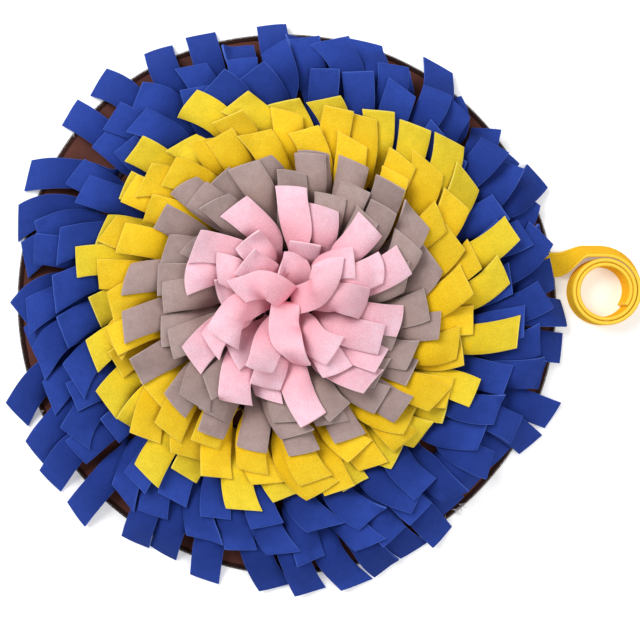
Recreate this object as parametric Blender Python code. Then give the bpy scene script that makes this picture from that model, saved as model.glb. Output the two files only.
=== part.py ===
"""A round snuffle mat lying flat, with its rolling strap coiled beside it.

A brown base cloth carries thirteen sewn rings of fleece strips: blue outside, then yellow, grey and pink.
Each ring is a narrow band whose top runs out into the strips, so a ring is one piece of cloth.
The rings are laid from the rim inwards, and every strip comes to rest on the pile that is already there.
Units are metres and degrees. +X points at the strap, +Z is up, and the origin is under the base's middle.
"""

import math
import random
from typing import NamedTuple

import bmesh
import bpy
import numpy as np
from mathutils import Matrix, Vector

MM = 0.001

# Base cloth
BASE_RADIUS = 250 * MM
BASE_THICKNESS = 2.5 * MM
BASE_POINTS = 80
# How far the hand-cut rim strays from a circle: waves round the rim, height of a wave, bearing of a crest
RIM_WAVES = ((2, 1.3 * MM, 128), (3, 0.8 * MM, 15), (5, 0.7 * MM, 60))

# Fleece strips
GAP = 0.3 * MM
STRIP_WIDTH = 28 * MM
STRIP_THICKNESS = 2.0 * MM
BAND_WIDTH = 4 * MM
BAND_HEIGHT = 1.5 * MM
BAND_FOOT = BASE_THICKNESS + GAP
BAND_TOP = BAND_FOOT + BAND_HEIGHT
FLOWER_CENTRE = Vector((3 * MM, 2 * MM, 0))

# Stations along a strip, from its root to its cut end.
# It stands straight up from its root and then bends outwards.
STATIONS = (0.0, 0.05, 0.36, 0.70, 1.0)  # share of the way out
FIRST_RISE = 0.45  # height of the second station, as a share of the third one's
TILT_SHARE = (0.0, 0.4, 1.0, 1.0, 1.0)  # how much of the sideways tilt a station has
# The neck's width, as a share of the root's width
PINCH = {"blue": 0.66, "yellow": 0.68, "grey": 0.70, "pink": 0.76}
ARCH = (8 * MM, 14 * MM)  # how high a strip stands if nothing is under it
SHOULDER = 0.8  # the fourth station's height if nothing is under it, as a share of the arch
CUT_END = (1.5 * MM, 6 * MM)  # the cut end's height above the floor if nothing is under it
CLEARANCE = 0.6 * MM
LOFT = (0.0, 1.5 * MM)  # how far a strip bulges clear of what it lies on
MOST_TILT = 9 * MM  # one edge above the other
MOST_TWIST = 6 * MM  # difference in tilt between one station and the next
MOST_CLIMB = 10 * MM  # one station above the one before it
STEEPNESS_SPARE = 1.25  # how much taller a sloping strip's thickness stands than a level one's
FULL_WIDTH_FROM = 0.97  # the third station's width, as a share of the whole
BOW_SHARE = 0.25  # how far a leaning strip's middle bows, as a share of how far its end has gone round
CUT_SLANT = 8  # degrees by which a cut end strays from its own slant, either way
CUT_FOLLOWS = 0.65  # a cut end turns back towards the ring's own line by this share of the strip's lean
MOST_CUT = 28  # and by no more than this, in degrees
LOOSE_TILT = 1.5 * MM  # one edge above the other if nothing is under it, either way
HIDDEN_REACH = 8 * MM  # how far a hidden row's cut ends stray from the row's reach, either way
HIDDEN_SKEW = 17  # and from its skew, in degrees

# The pile under the strips
RIM_MARGIN = 3 * MM
RIM_SPARE = 1 * MM
STRAP_MARGIN = 2 * MM
STRAP_PILE_PAST_TURN = 14 * MM
LAYING_ROUNDS = 600
LAYING_ERROR = 0.02 * MM

# Strap
STRAP_WIDTH = 23 * MM
STRAP_THICKNESS = 2.4 * MM
STRAP_EDGE_Y = 46.9 * MM  # its far edge, where it leaves the mat
STRAP_START_X = 238 * MM
STRAP_FLOOR_X = (250.5 * MM, 262 * MM)  # it comes down from the rim to the floor between these
STRAP_TURN_X = (250 * MM, 276 * MM)  # and turns up on its edge between these
STRAP_APPROACH = (238, 244, 250, 255, 260, 265, 270, 275, 280, 286)  # sections in mm along X
COIL_CENTRE = Vector((291.4 * MM, 11 * MM, 0))
COIL_RADIUS = 30.4 * MM
COIL_PITCH = 3.9 * MM
COIL_TURNS = 2.36
COIL_STEP = 22.5
LEAN_AT_COIL = 65  # how far the strap has turned up when it reaches the coil, where 90 is on its edge
UPRIGHT_AFTER = 200  # degrees round the coil until it stands straight up


class Tip(NamedTuple):
    """Where a strip's cut end lies.

    The reach is its distance from the middle in mm, and the skew is how far the strip leans round in degrees.
    The sweep is how far the strip's middle bows to its left, in mm. A strip without one bows as it fell.
    """

    reach: float
    skew: float
    sweep: float | None = None


class Row(NamedTuple):
    """One sewn ring of strips, anticlockwise from the first bearing.

    Crowding draws its roots towards +X, in degrees. The neck is a strip's width just above its root, as a
    share of the root's own width, in a row that differs from its colour's other rows.
    """

    name: str
    colour: str
    root_radius: float
    first_bearing: float
    tips: tuple
    crowding: float = 0.0
    neck: float | None = None

    def bearing(self, slot):
        """The bearing of a root in radians. A slot's two ends are half a slot before and after it."""
        even = math.radians(self.first_bearing) + slot * 2 * math.pi / len(self.tips)
        return even - math.radians(self.crowding) * math.sin(even)


def placed(*pairs):
    """Tips that follow the photograph, anticlockwise from the row's first bearing."""
    return tuple(Tip(*pair) for pair in pairs)


def scattered(count, reach, skew, seed):
    """Tips that lie as they fell, about a middle reach in mm and a middle skew in degrees."""
    draw = random.Random(seed)
    stray = HIDDEN_REACH / MM
    return tuple(
        Tip(reach + draw.uniform(-stray, stray), skew + draw.uniform(-HIDDEN_SKEW, HIDDEN_SKEW))
        for _ in range(count)
    )


BLUE_RIM = placed(
    (244, 13), (241, 18), (239, 36), (258, 13), (243, 18), (241, 19), (234, 40), (259, 23),
    (229, 35), (245, 32), (244, 26), (242, 19), (256, 8), (239, 4), (260, -3), (263, -3),
    (269, 13), (268, 9), (269, 28), (261, 30), (246, 27), (243, 38), (243, 19), (274, 26),
    (274, 23), (278, 9), (280, 5), (265, 17), (262, 4), (270, 7), (266, 26), (270, 20),
    (271, 22), (263, 19), (259, 14), (261, 8), (243, 0), (241, 1), (243, 3), (261, -3),
    (267, -1), (243, 0), (256, 0), (254, 2),
)  # fmt: skip
YELLOW_RIM = placed(
    (209, 20), (195, 34), (202, 28), (192, 23), (187, 20), (182, 32), (178, 32), (183, 34),
    (199, 30), (171, 24), (193, 16), (179, 10), (180, 18), (192, 12), (175, 20), (183, 20),
    (189, 24), (183, 14), (202, 14), (184, 4), (192, 24), (177, 28), (175, 24), (176, 16),
    (171, 28), (172, 20), (172, 14), (187, -2), (207, 16), (195, 28),
)  # fmt: skip
GREY_RIM = placed(
    (134, 34), (137, 30), (137, 24), (137, 20), (135, 14), (127, 28), (126, 26), (138, 10),
    (136, 2), (147, 18), (148, 16), (149, 12), (138, 12), (138, 10), (138, 6), (137, 10),
    (136, 10), (141, 20), (128, 10), (137, 16),
)  # fmt: skip
PINK_RIM = placed(
    (108, 17), (98, 16), (88, 22), (100, 13), (95, 26), (94, 36), (92, 26), (62, 0),
    (100, 20), (101, 30), (91, 18), (108, 16), (103, 32), (99, 11), (102, 8),
)  # fmt: skip
PINK_MIDDLE = placed(
    (88, 12), (67, -26), (53, -18), (64, 8), (68, 4), (80, 30), (70, 0), (80, -8), (78, 10), (90, 4),
)  # fmt: skip
PINK_INNER = placed((68, -4), (34, 60, -4), (50, 26), (66, 40), (66, 10), (62, 16))
PINK_CENTRE = placed((49, 80, -12), (44, 90, -9), (57, 78, -5))

ROWS = (
    Row("blue_row_1", "blue", 196 * MM, 4.3, BLUE_RIM, crowding=11),
    Row("blue_row_2", "blue", 174 * MM, 6.0, scattered(38, 230, 16, seed=2)),
    Row("blue_row_3", "blue", 151 * MM, 1.0, scattered(32, 206, 16, seed=3)),
    Row("yellow_row_1", "yellow", 128 * MM, 10.0, YELLOW_RIM),
    Row("yellow_row_2", "yellow", 109 * MM, 4.0, scattered(26, 170, 18, seed=5)),
    Row("yellow_row_3", "yellow", 93 * MM, 9.0, scattered(22, 155, 16, seed=6)),
    Row("grey_row_1", "grey", 78 * MM, 2.0, GREY_RIM),
    Row("grey_row_2", "grey", 63 * MM, 11.0, scattered(16, 124, 15, seed=8)),
    Row("grey_row_3", "grey", 49 * MM, 5.0, scattered(13, 108, 15, seed=9)),
    Row("pink_row_1", "pink", 36 * MM, 8.0, PINK_RIM),
    Row("pink_row_2", "pink", 24.5 * MM, 10.0, PINK_MIDDLE),
    Row("pink_row_3", "pink", 14 * MM, 0.0, PINK_INNER, neck=0.9),
    Row("pink_centre", "pink", 5.5 * MM, 330.0, PINK_CENTRE, neck=1.5),
)

COLOURS = {
    "brown": (0.060, 0.022, 0.014),
    "blue": (0.018, 0.050, 0.300),
    "yellow": (0.850, 0.560, 0.040),
    "grey": (0.400, 0.320, 0.310),
    "pink": (0.930, 0.520, 0.610),
    "strap_yellow": (0.930, 0.560, 0.035),
}


def smooth(value, low, high):
    """0 below low, 1 above high and an even curve between."""
    share = min(max((value - low) / (high - low), 0.0), 1.0)
    return share * share * (3 - 2 * share)


def rim_radius(bearing):
    """The base's radius at a bearing in radians."""
    return BASE_RADIUS + sum(
        height * math.cos(waves * (bearing - math.radians(crest))) for waves, height, crest in RIM_WAVES
    )


class Pile:
    """The height of whatever lies at each place, kept on a square grid, for the next strip to be laid on."""

    CELL = 1.6 * MM
    HALF_SIDE = 320 * MM

    def __init__(self):
        self.cells = int(2 * self.HALF_SIDE / self.CELL)
        middles = (np.arange(self.cells) + 0.5) * self.CELL - self.HALF_SIDE
        x, y = np.meshgrid(middles, middles, indexing="ij")
        self.top = np.where(np.hypot(x, y) < BASE_RADIUS + RIM_MARGIN, BASE_THICKNESS + RIM_SPARE, 0.0)
        strap = (x > STRAP_START_X - STRAP_MARGIN) & (x < STRAP_TURN_X[0] + STRAP_PILE_PAST_TURN)
        strap &= (y < STRAP_EDGE_Y + STRAP_MARGIN) & (y > STRAP_EDGE_Y - STRAP_WIDTH - STRAP_MARGIN)
        self.top[strap] = BAND_FOOT + STRAP_THICKNESS + STRAP_MARGIN

    def cell_of(self, metres):
        return np.clip(((metres + self.HALF_SIDE) / self.CELL).astype(int), 1, self.cells - 2)

    def under(self, x, y):
        """The highest thing at or next to each point."""
        column, line = self.cell_of(x), self.cell_of(y)
        around = [self.top[column + i, line + j] for i in (-1, 0, 1) for j in (-1, 0, 1)]
        return np.max(around, axis=0)

    def add(self, x, y, z):
        np.maximum.at(self.top, (self.cell_of(x), self.cell_of(y)), z)


class Strip:
    """One fleece strip, from the middle of its root to its cut end."""

    ACROSS = np.linspace(-1, 1, 23)
    ALONG = np.linspace(0, 1, 61)
    LAID_FROM = 0.1  # nothing is under the strip before this share of its length

    def __init__(self, row, slot, draw):
        tip = row.tips[slot]
        bearing = row.bearing(slot)
        skew = math.radians(tip.skew)
        self.root = Vector((math.cos(bearing), math.sin(bearing), 0)) * row.root_radius + FLOWER_CENTRE
        reach = tip.reach * MM
        onward, sideways = row.root_radius * math.cos(skew), row.root_radius * math.sin(skew)
        length = math.sqrt(reach**2 - sideways**2) - onward
        heading = bearing + skew
        ahead = Vector((math.cos(heading), math.sin(heading), 0))
        aside = Vector((-ahead.y, ahead.x, 0))
        bow = -BOW_SHARE * length * math.tan(skew) * draw.uniform(0.5, 1.0)
        if tip.sweep is not None:
            bow = tip.sweep * MM
        self.middles = [self.root + ahead * length * u + aside * bow * 4 * u * (1 - u) for u in STATIONS]
        share_of_ring = row.bearing(slot + 0.5) - row.bearing(slot - 0.5)
        self.root_width = 2 * row.root_radius * math.sin(share_of_ring / 2)
        self.pinch = row.neck or PINCH[row.colour]
        slant = draw.uniform(-CUT_SLANT, CUT_SLANT)
        if tip.sweep is None:
            slant += min(max(CUT_FOLLOWS * self.lean(), -MOST_CUT), MOST_CUT)
        self.cut = math.tan(math.radians(slant))
        arch = draw.uniform(*ARCH)
        own = (BAND_TOP + arch, BAND_TOP + arch * SHOULDER, draw.uniform(*CUT_END))
        tilt = draw.uniform(-LOOSE_TILT, LOOSE_TILT)
        self.loose = np.array([[height + tilt, height - tilt] for height in own]).ravel()
        self.loft = draw.uniform(*LOFT)
        self.edges = [self.edge_points(i) for i in range(len(STATIONS))]
        self.heights = None

    def lean(self):
        """How far the strip's end points round the mat from straight outwards, in degrees anticlockwise."""
        outward = self.middles[-1] - FLOWER_CENTRE
        ahead = self.middles[-1] - self.middles[-2]
        return math.degrees(math.atan2(outward.cross(ahead).z, outward.dot(ahead)))

    def edge_points(self, i):
        """The left and the right end of the strip's cross line at a station, in plan."""
        before, after = self.middles[max(i - 1, 0)], self.middles[min(i + 1, len(STATIONS) - 1)]
        ahead = (after - before).normalized()
        left = Vector((-ahead.y, ahead.x, 0))
        neck, nearly_full = self.root_width * self.pinch, STRIP_WIDTH * FULL_WIDTH_FROM
        width = (self.root_width, neck, nearly_full, STRIP_WIDTH, STRIP_WIDTH)[i]
        lag = ahead * self.cut * width / 2 if i == len(STATIONS) - 1 else Vector()
        return self.middles[i] + left * width / 2 + lag, self.middles[i] - left * width / 2 - lag

    def plan(self):
        """Sample points all over the strip, in plan."""
        share = (1 + self.ACROSS) / 2
        x, y = (
            [
                np.interp(self.ALONG, STATIONS, [pair[side][axis] for pair in self.edges])[:, None]
                for side in (0, 1)
            ]
            for axis in (0, 1)
        )
        return x[0] * share + x[1] * (1 - share), y[0] * share + y[1] * (1 - share)

    @classmethod
    def influence(cls):
        """How far each sample point rises with the left and the right height of the last three stations."""
        tilt = np.interp(cls.ALONG, STATIONS, TILT_SHARE)[:, None] * cls.ACROSS / 2
        rises = ((0, FIRST_RISE, 1, 0, 0), (0, 0, 0, 1, 0), (0, 0, 0, 0, 1))
        columns = []
        for rise in rises:
            along = np.interp(cls.ALONG, STATIONS, rise)[:, None]
            columns += [along * (0.5 + tilt), along * (0.5 - tilt)]
        return np.stack(columns, axis=-1)

    def lay(self, pile):
        """Lifts the strip from its loose shape until it clears the whole pile, and adds it to the pile."""
        x, y = self.plan()
        influence = self.influence()
        footing = BAND_TOP * (1 - influence.sum(axis=-1))
        half = STRIP_THICKNESS / 2 * STEEPNESS_SPARE
        bulge = self.loft * np.sin(math.pi * self.ALONG)[:, None]
        needed = (pile.under(x, y) + CLEARANCE + half + bulge - footing)[self.ALONG >= self.LAID_FROM]
        lift = influence[self.ALONG >= self.LAID_FROM]
        onward = np.array(((1, -1, 0), (0, 1, -1)))
        level = np.kron(np.eye(3), ((1, -1), (-1, 1)))
        even = np.kron(onward, ((1, -1), (-1, 1)))
        arched = np.kron(onward, (0.5, 0.5))
        lift = np.concatenate([lift.reshape(-1, 6), level, even, arched])
        limits = np.repeat((MOST_TILT, MOST_TWIST, MOST_CLIMB), (6, 4, 2))
        needed = np.concatenate([needed.ravel(), -limits])
        heights = self.loose.copy()
        strength = (lift**2).sum(axis=1)
        for _ in range(LAYING_ROUNDS):
            short = (needed - lift @ heights) / np.sqrt(strength)
            worst = short.argmax()
            if short[worst] < LAYING_ERROR:
                break
            heights += lift[worst] * short[worst] / np.sqrt(strength[worst])
        pile.add(x, y, footing + influence @ heights + half)
        third, fourth, last = heights.reshape(3, 2)
        second = BAND_TOP + FIRST_RISE * (third.mean() - BAND_TOP)
        tilt = TILT_SHARE[1] * FIRST_RISE * (third[0] - third[1]) / 2
        self.heights = [(BAND_TOP, BAND_TOP), (second + tilt, second - tilt), third, fourth, last]

    def section(self, i):
        """The four corners at a station: upper left, upper right, lower right and lower left."""
        left, right = (
            Vector((point.x, point.y, height))
            for point, height in zip(self.edges[i], self.heights[i], strict=True)
        )
        before, after = max(i - 1, 0), min(i + 1, len(STATIONS) - 1)
        middle_height = [sum(pair) / 2 for pair in self.heights]
        along = self.middles[after] - self.middles[before]
        along.z = middle_height[after] - middle_height[before]
        up = along.cross(left - right).normalized() * STRIP_THICKNESS / 2
        return left + up, right + up, right - up, left - up


def cloth_material(name):
    material = bpy.data.materials.new(name)
    material.use_nodes = True
    shader = material.node_tree.nodes["Principled BSDF"]
    shader.inputs["Base Color"].default_value = (*COLOURS[name], 1)
    shader.inputs["Roughness"].default_value = 0.95
    shader.inputs["Metallic"].default_value = 0.0
    return material


def add_object(name, bm, material, collection):
    mesh = bpy.data.meshes.new(name)
    bm.to_mesh(mesh)
    bm.free()
    mesh.materials.append(material)
    obj = bpy.data.objects.new(name, mesh)
    collection.objects.link(obj)
    return obj


def extruded(bm, face, corners, points):
    """Extrudes a face to new points, one for each corner, and returns the new face and its corners."""
    end = bmesh.ops.extrude_discrete_faces(bm, faces=[face])["faces"][0]
    moved = [min(end.verts, key=lambda vert: (vert.co - corner.co).length) for corner in corners]
    for vert, point in zip(moved, points, strict=True):
        vert.co = point
    return end, moved


def fold_alike(bm, before, after):
    """Folds a stretch's two faces along the same diagonal, so that a twisted strip keeps its thickness."""
    upper_left, _, _, lower_left = before
    _, upper_right, lower_right, _ = after
    bmesh.ops.connect_verts(bm, verts=[upper_left, upper_right])
    bmesh.ops.connect_verts(bm, verts=[lower_left, lower_right])


def base_cloth(collection, material):
    bm = bmesh.new()
    bmesh.ops.create_circle(bm, cap_ends=True, segments=BASE_POINTS, radius=BASE_RADIUS)
    for vert in bm.verts:
        vert.co *= rim_radius(math.atan2(vert.co.y, vert.co.x)) / BASE_RADIUS
    top = bmesh.ops.extrude_face_region(bm, geom=bm.faces[:])["geom"]
    moved = [item for item in top if isinstance(item, bmesh.types.BMVert)]
    bmesh.ops.translate(bm, verts=moved, vec=(0, 0, BASE_THICKNESS))
    bmesh.ops.recalc_face_normals(bm, faces=bm.faces[:])
    return add_object("base_cloth", bm, material, collection)


def sewn_band(row):
    """The row's band, with one flat top face for the root of each strip, anticlockwise."""
    bm = bmesh.new()
    half = math.pi / len(row.tips)
    bearing = math.radians(row.first_bearing) - half
    corners = ((-0.5, 0), (0.5, 0), (0.5, 1), (-0.5, 1))
    outward = Vector((math.cos(bearing), math.sin(bearing), 0))
    profile = [
        bm.verts.new(
            FLOWER_CENTRE
            + outward * (row.root_radius + side * BAND_WIDTH)
            + Vector((0, 0, BAND_FOOT + up * BAND_HEIGHT))
        )
        for side, up in corners
    ]
    edges = [bm.edges.new((profile[i - 1], profile[i])) for i in range(4)]
    bmesh.ops.spin(
        bm, geom=profile + edges, cent=FLOWER_CENTRE, axis=(0, 0, 1), angle=2 * math.pi,
        steps=len(row.tips), use_merge=True,
    )  # fmt: skip
    for vert in bm.verts:
        even = math.atan2(vert.co.y - FLOWER_CENTRE.y, vert.co.x - FLOWER_CENTRE.x)
        drawn = Matrix.Rotation(-math.radians(row.crowding) * math.sin(even), 4, "Z")
        vert.co = FLOWER_CENTRE + drawn @ (vert.co - FLOWER_CENTRE)
    return bm


def laid_strips(row, pile):
    """A row's strips, each laid on the pile: every second strip first, and the others over them."""
    draw = random.Random(row.name)
    strips = [Strip(row, slot, draw) for slot in range(len(row.tips))]
    for strip in strips[::2] + strips[1::2]:
        strip.lay(pile)
    return strips


def strip_row(row, pile, collection, material):
    """A row's band, with the row's strips drawn out of its top."""
    strips = laid_strips(row, pile)
    bm = sewn_band(row)
    roots = [face for face in bm.faces if face.calc_center_median().z > BAND_TOP - 0.1 * MM]
    for strip in strips:
        face = min(roots, key=lambda root: (root.calc_center_median() - strip.root).xy.length)
        roots.remove(face)
        outward = (strip.root - FLOWER_CENTRE).normalized()
        round_to_left = Vector((-outward.y, outward.x, 0))
        corners = [
            max(face.verts, key=lambda vert: (vert.co - strip.root).dot(round_to_left * side + outward * out))
            for side, out in ((1, -2), (-1, -2), (-1, 2), (1, 2))
        ]
        for i in range(1, len(STATIONS)):
            before = corners
            face, corners = extruded(bm, face, corners, strip.section(i))
            fold_alike(bm, before, corners)
    bmesh.ops.recalc_face_normals(bm, faces=bm.faces[:])
    return add_object(row.name, bm, material, collection)


def strap_section(foot, inward, turned, lift):
    """A section of the strap: its far edge on the floor at foot, and its width turned up towards inward."""
    turned = math.radians(turned)
    up = Vector((0, 0, 1))
    width = (inward * math.cos(turned) + up * math.sin(turned)) * STRAP_WIDTH
    thickness = (up * math.cos(turned) - inward * math.sin(turned)) * STRAP_THICKNESS
    foot = foot + up * lift
    return foot, foot + width, foot + width + thickness, foot + thickness


def strap_sections():
    """From the sewn end out over the rim, down to the floor, up on its edge and round the coil."""
    inward = Vector((0, -1, 0))
    coil_foot_y = COIL_CENTRE.y + COIL_RADIUS + STRAP_WIDTH * math.cos(math.radians(LEAN_AT_COIL))
    for x in STRAP_APPROACH:
        turn = smooth(x * MM, *STRAP_TURN_X)
        foot = Vector((x * MM, STRAP_EDGE_Y + (coil_foot_y - STRAP_EDGE_Y) * turn, 0))
        lift = BAND_FOOT * (1 - smooth(x * MM, *STRAP_FLOOR_X))
        yield strap_section(foot, inward, LEAN_AT_COIL * turn, lift)
    for step in range(int(COIL_TURNS * 360 / COIL_STEP) + 1):
        angle = step * COIL_STEP
        turned = LEAN_AT_COIL + (90 - LEAN_AT_COIL) * smooth(angle, 0, UPRIGHT_AFTER)
        outward = Vector((math.sin(math.radians(angle)), math.cos(math.radians(angle)), 0))
        radius = COIL_RADIUS - COIL_PITCH * angle / 360 + STRAP_WIDTH * math.cos(math.radians(turned))
        yield strap_section(COIL_CENTRE + outward * radius, -outward, turned, 0)


def rolling_strap(collection, material):
    bm = bmesh.new()
    sections = list(strap_sections())
    corners = [bm.verts.new(point) for point in sections[0]]
    face = bm.faces.new(corners)
    for section in sections[1:]:
        face, corners = extruded(bm, face, corners, section)
    bmesh.ops.holes_fill(bm, edges=bm.edges[:], sides=4)
    bmesh.ops.recalc_face_normals(bm, faces=bm.faces[:])
    return add_object("strap", bm, material, collection)


def main():
    for obj in list(bpy.data.objects):
        bpy.data.objects.remove(obj)
    collection = bpy.data.collections.new("snuffle_mat")
    bpy.context.scene.collection.children.link(collection)
    materials = {name: cloth_material(name) for name in COLOURS}
    base_cloth(collection, materials["brown"])
    rolling_strap(collection, materials["strap_yellow"])
    pile = Pile()
    for row in ROWS:
        strip_row(row, pile, collection, materials[row.colour])


main()
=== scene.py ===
"""A round snuffle mat with its rolling strap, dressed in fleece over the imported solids.

Every fleece strip starts from its solid's place and width, and then settles on the strips under it.
Units are metres and degrees. +X points at the strap, +Z is up, and the origin is under the base's middle.
"""

import math
import random
from typing import NamedTuple

import bmesh
import bpy
import numpy as np
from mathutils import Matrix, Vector


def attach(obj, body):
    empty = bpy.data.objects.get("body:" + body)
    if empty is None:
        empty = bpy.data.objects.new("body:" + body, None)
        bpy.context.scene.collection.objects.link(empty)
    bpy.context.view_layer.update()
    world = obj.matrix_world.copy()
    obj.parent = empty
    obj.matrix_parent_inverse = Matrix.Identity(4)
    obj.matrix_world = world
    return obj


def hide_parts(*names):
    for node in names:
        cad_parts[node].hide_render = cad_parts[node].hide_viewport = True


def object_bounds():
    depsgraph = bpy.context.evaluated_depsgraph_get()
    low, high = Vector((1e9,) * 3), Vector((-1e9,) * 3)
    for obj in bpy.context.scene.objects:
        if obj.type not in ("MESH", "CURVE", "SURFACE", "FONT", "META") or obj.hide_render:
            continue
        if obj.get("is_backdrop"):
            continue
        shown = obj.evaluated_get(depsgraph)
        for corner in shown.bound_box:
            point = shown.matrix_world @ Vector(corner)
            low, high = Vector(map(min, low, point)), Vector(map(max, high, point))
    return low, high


MM = 0.001

# Photograph
CAMERA_PLACE = Vector((31.7 * MM, -15.8 * MM, 850 * MM))
LENS = 51.3
SENSOR = 36
LIGHTS = (  # name, place, watts and size
    ("left_light", (-1.1, 0.9, 1.5), 37, 1.2),
    ("right_light", (1.3, -0.4, 1.6), 15, 1.2),
)
ROOM_LIGHT = 0.42
FLOOR_GLOW = 0.22
FLOOR_HALF_SIDE = 4

# Base cloth
BASE_RADIUS = 250 * MM
BASE_THICKNESS = 2.5 * MM
RIM_WAVES = ((2, 1.3 * MM, 128), (3, 0.8 * MM, 15), (5, 0.7 * MM, 60))

# Fleece strips
GAP = 0.3 * MM
STRIP_WIDTH = 28 * MM
STRIP_THICKNESS = 2.0 * MM
BAND_WIDTH = 4 * MM
BAND_HEIGHT = 1.5 * MM
BAND_FOOT = BASE_THICKNESS + GAP
BAND_TOP = BAND_FOOT + BAND_HEIGHT
FLOWER_CENTRE = Vector((3 * MM, 2 * MM, 0))

# Stations along a strip, from its root to its cut end.
# It stands straight up from its root and then bends outwards.
STATIONS = (0.0, 0.05, 0.36, 0.70, 1.0)
FIRST_RISE = 0.45
TILT_SHARE = (0.0, 0.4, 1.0, 1.0, 1.0)
PINCH = {"blue": 0.66, "yellow": 0.68, "grey": 0.70, "pink": 0.76}
ARCH = (8 * MM, 14 * MM)
SHOULDER = 0.8
CUT_END = (1.5 * MM, 6 * MM)
CLEARANCE = 0.6 * MM
LOFT = (0.0, 1.5 * MM)
MOST_TILT = 9 * MM
MOST_TWIST = 6 * MM
MOST_CLIMB = 10 * MM
STEEPNESS_SPARE = 1.25
FULL_WIDTH_FROM = 0.97
BOW_SHARE = 0.25
CUT_SLANT = 8  # degrees either way by which a cut end is off
CUT_FOLLOWS = 0.65  # the share of a strip's lean that its cut end follows
CUT_LEAD = 6  # degrees by which the left corner of a cut end lies ahead, which its solid lacks
MOST_CUT = 28  # the most degrees of its lean that a cut end follows
LOOSE_TILT = 1.5 * MM
HIDDEN_REACH = 8 * MM
HIDDEN_SKEW = 17

# The pile under the strips
RIM_MARGIN = 3 * MM
RIM_SPARE = 1 * MM
STRAP_MARGIN = 2 * MM
STRAP_PILE_PAST_TURN = 14 * MM
LAYING_ROUNDS = 600
LAYING_ERROR = 0.02 * MM

# How the felt finishes: a strip's own softness, past the shape that its solid has.
# Places along it are shares of its length.
EDGE_ROUNDING = 0.35 * MM
CUT_CORNER = 55  # degrees past which an edge of the felt counts as cut
NEARBY = 0.01  # how far to either side a direction is read
LOOSE_BETWEEN = (0.12, 0.5)
FULL_BY = 0.1
CURLED_TO = 0.34  # a strip leans in over the middle up to this share
INWARD_SHARE = 0.6  # how far a curl leans straight in, for every 1 that it leans back the way it came
SECOND_SWAY = 0.35
SECOND_SWAY_START = 2  # radians
CREST_SHAPE = 0.9
DROOPS_BETWEEN = (0.55, 1.15)
TWISTS_BETWEEN = (0.25, 1.0)
WAVE_START = 6.3  # radians
ROCKING = 3  # degrees
ROCKING_PACE = (5, 9)
BOW_SWELL = 0.35
BOW_PACE = (3, 7)
BOW_MIDDLE = 0.5  # how much of a bow lifts the middle, where the rest lowers the edges
BOW_NARROWS = 1.3
FLATTENS_FROM = 0.45
WANDER = 0.02
WANDER_PACE = (4, 8)
CUT_FROM = 0.7  # cross lines turn towards the slant of the cut end past this share
EASING = 14  # steps that round off a strip's tightest bends
REST = 0.35 * MM
FLOOR_EASING = 2
FREE_FROM = 0.14  # a strip hangs free past this share
HELD_TO = 0.02
NEVER_SHORT = -1.0  # metres, for places that nothing lifts
LIFTED_BY = 75  # the share, in percent, of a cross line that lies clear once the whole line is lifted
SAG_SHARE = (0.2, 1.0)
SETTLING = 36  # steps in which a strip comes to rest
SPREADING = 12
PASSED_ON = 0.995
LIFT_EASING = 3
ROOT_SINK = 1.0 * MM
STRIP_TONES = (0.86, 1.06)  # the darkest and the lightest shade of a strip, as shares of its colour

# Finish of the base cloth and of the bands sewn on it
BASE_SEGMENTS = 360
BASE_INSET = 0.4 * MM
BASE_ROUNDING = 0.8 * MM
BASE_HEM = 12 * MM
BASE_SHARP = 50  # degrees
BAND_STEPS = 96
BAND_SHARP = 40  # degrees
RIM_CORNER = 60  # degrees past which an edge is one of the two that run round the rim

# Strap
STRAP_WIDTH = 23 * MM
STRAP_THICKNESS = 2.4 * MM
STRAP_EDGE_Y = 46.9 * MM
STRAP_START_X = 238 * MM
STRAP_END_X = 286 * MM
STRAP_FLOOR_X = (250.5 * MM, 262 * MM)
STRAP_TURN_X = (250 * MM, 276 * MM)
COIL_CENTRE = Vector((291.4 * MM, 11 * MM, 0))
COIL_RADIUS = 30.4 * MM
COIL_PITCH = 3.9 * MM
COIL_TURNS = 2.36
LEAN_AT_COIL = 65
UPRIGHT_AFTER = 200
STRAP_STEP = 2.4 * MM
COIL_STEP = 6.0  # degrees
STRAP_PUFF = 0.65 * MM  # how much fuller each half of the strap is where it stands on its edge
STRAP_ROUNDING = 1.8 * MM  # how far in from its folded edges the strap is rounded
STRAP_PLACES = (0.0, 0.15, 0.5, 1.0, 1.8, 2.6, 3.4, 4.2, 5.4, 8.0, 11.5)  # mm in from an edge
STRAP_MAP = ((0, 1.8, 21.2, 23), (0, 0.03, 0.97, 1))  # mm across, and its place in the cloth's map, which puts each folded edge in the paler edge band: a painted highlight
SEAM_IN = 3.4 * MM
SEAM_WIDTH = 0.8 * MM
SEAM_DIP = 0.28  # share of the thickness that the stitches draw in
STITCH_ENDS = (0.15, 0.85)

# Threads
THREAD_SIDES = ((0.7, 0.7), (-0.7, 0.7), (-0.7, -0.7), (0.7, -0.7))
SEAM_THREAD = 0.22 * MM
OVERLOCK_THREAD = 0.5 * MM
OVERLOCK_WIDTH = 4.2 * MM
OVERLOCK_STITCHES = 1500
OVERLOCK_REACH = 0.2  # mm
OVERLOCK_SLANT = (0.2, 0.5)  # mm
OVERLOCK_PATH = ((0.0, 0.2), (1.6, 0.42), (3.4, 0.40), (4.3, -0.1), (4.75, -0.9), (4.7, -1.9))  # mm
FRAYED_THREAD = 0.3 * MM
FRAYED_AT = ((-50.5, 9), (-52.5, 4), (39.0, 5), (141.0, 3), (203.0, 3))  # bearing and number of ends
FRAYED_SPREAD = 1.6  # degrees
FRAYED_TURN = 60  # degrees
FRAYED_IN = (1.0, 4.0)  # mm
FRAYED_LENGTH = (4.0, 8.0)  # mm
FRAYED_BEND = 2.0  # mm
FRAYED_RISE = (0.3, 1.2)  # mm
FRAYED_FOOT = 0.6 * MM
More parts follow.
